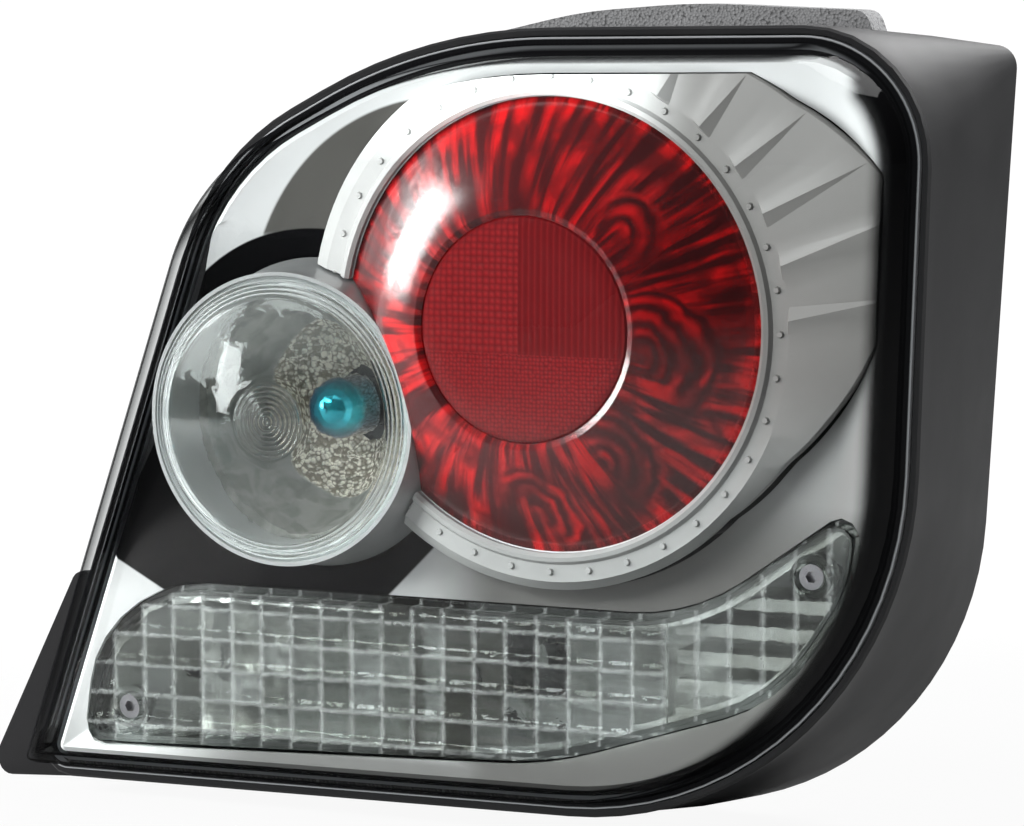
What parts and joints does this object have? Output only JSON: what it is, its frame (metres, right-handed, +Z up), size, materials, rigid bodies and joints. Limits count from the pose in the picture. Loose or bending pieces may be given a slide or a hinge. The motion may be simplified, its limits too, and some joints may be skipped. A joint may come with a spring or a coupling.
{
  "type": "tail light cluster",
  "caption": "Right-hand car tail light cluster with a red tail lamp, a small indicator lamp and a pillow-lens reverse lamp under one clear cover.",
  "frame": {"origin": "middle of the rear face of the foam gasket, which seats on the car body", "axes": "lens faces -Y, +Y into the car body, +X outboard to the right seen from behind the car, +Z up"},
  "size_m": [0.3467, 0.1365, 0.263],
  "materials": {
    "black_plastic": "moulded, satin",
    "holder_plastic": "moulded, matt",
    "clear_lens": "clear moulded plastic, polished",
    "clear_optic": "clear moulded plastic with optics",
    "red_lens": "red moulded plastic, polished",
    "red_reflex": "red prism reflector",
    "satin_trim": "satin silver coating on plastic",
    "silver_trim": "satin metal coating on plastic",
    "bright_reflector": "bright metal coating on plastic",
    "screw_steel": "zinc plated",
    "terminal_brass": "rolled",
    "filament_wire": "drawn wire",
    "bulb_glass": "clear blown glass",
    "blue_glass": "blue coated blown glass",
    "sealant": "cured bead",
    "foam_rubber": "closed cell foam"
  },
  "bodies": {
    "root": {"housing": "black_plastic", "outer_lens": "clear_lens", "lens_sealant": "sealant", "trim_bezel": "satin_trim", "tail_surround": "silver_trim", "tail_lens": "red_lens", "reflex_reflector": "red_reflex", "tail_reflector": "bright_reflector", "indicator_tube": "silver_trim", "indicator_lens": "clear_optic", "indicator_reflector": "bright_reflector", "reverse_lens": "clear_optic", "reverse_reflector": "bright_reflector", "reverse_lens_screws": "screw_steel", "mounting_studs": "screw_steel", "body_gasket": "foam_rubber", "upper_foam_seal": "foam_rubber", "vent_cap": "black_plastic", "tail_bulb_glass": "bulb_glass", "tail_bulb_cap": "black_plastic", "tail_bulb_filament": "filament_wire", "tail_bulb_holder": "holder_plastic", "tail_holder_seal": "foam_rubber", "tail_holder_terminals": "terminal_brass", "indicator_bulb_glass": "blue_glass", "indicator_bulb_cap": "black_plastic", "indicator_bulb_filament": "filament_wire", "indicator_bulb_holder": "holder_plastic", "indicator_holder_seal": "foam_rubber", "indicator_holder_terminals": "terminal_brass", "reverse_bulb_glass": "bulb_glass", "reverse_bulb_cap": "black_plastic", "reverse_bulb_filament": "filament_wire", "reverse_bulb_holder": "holder_plastic", "reverse_holder_seal": "foam_rubber", "reverse_holder_terminals": "terminal_brass"}
  },
  "joints": []
}
